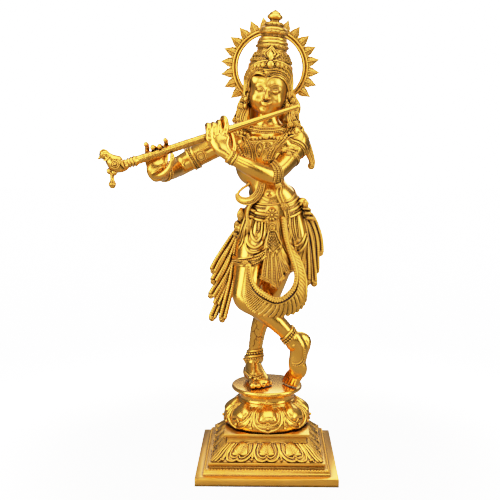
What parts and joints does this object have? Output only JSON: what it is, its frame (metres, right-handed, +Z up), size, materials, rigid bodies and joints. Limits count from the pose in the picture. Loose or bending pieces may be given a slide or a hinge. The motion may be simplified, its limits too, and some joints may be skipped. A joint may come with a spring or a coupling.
{
  "type": "krishna figure",
  "caption": "Cast brass flute player with a rayed halo behind the head, standing with crossed legs on a lotus and a stepped square plinth.",
  "frame": {"origin": "centre of the plinth's underside", "axes": "+Z up through the crown, -Y out of the figure's front towards the viewer, +X to the viewer's right"},
  "size_m": [0.3039, 0.186, 0.611],
  "materials": {
    "brass": "polished, with brown patina in the recesses"
  },
  "bodies": {
    "root": {"plinth": "brass", "figure": "brass", "flute": "brass", "halo": "brass"}
  },
  "joints": []
}
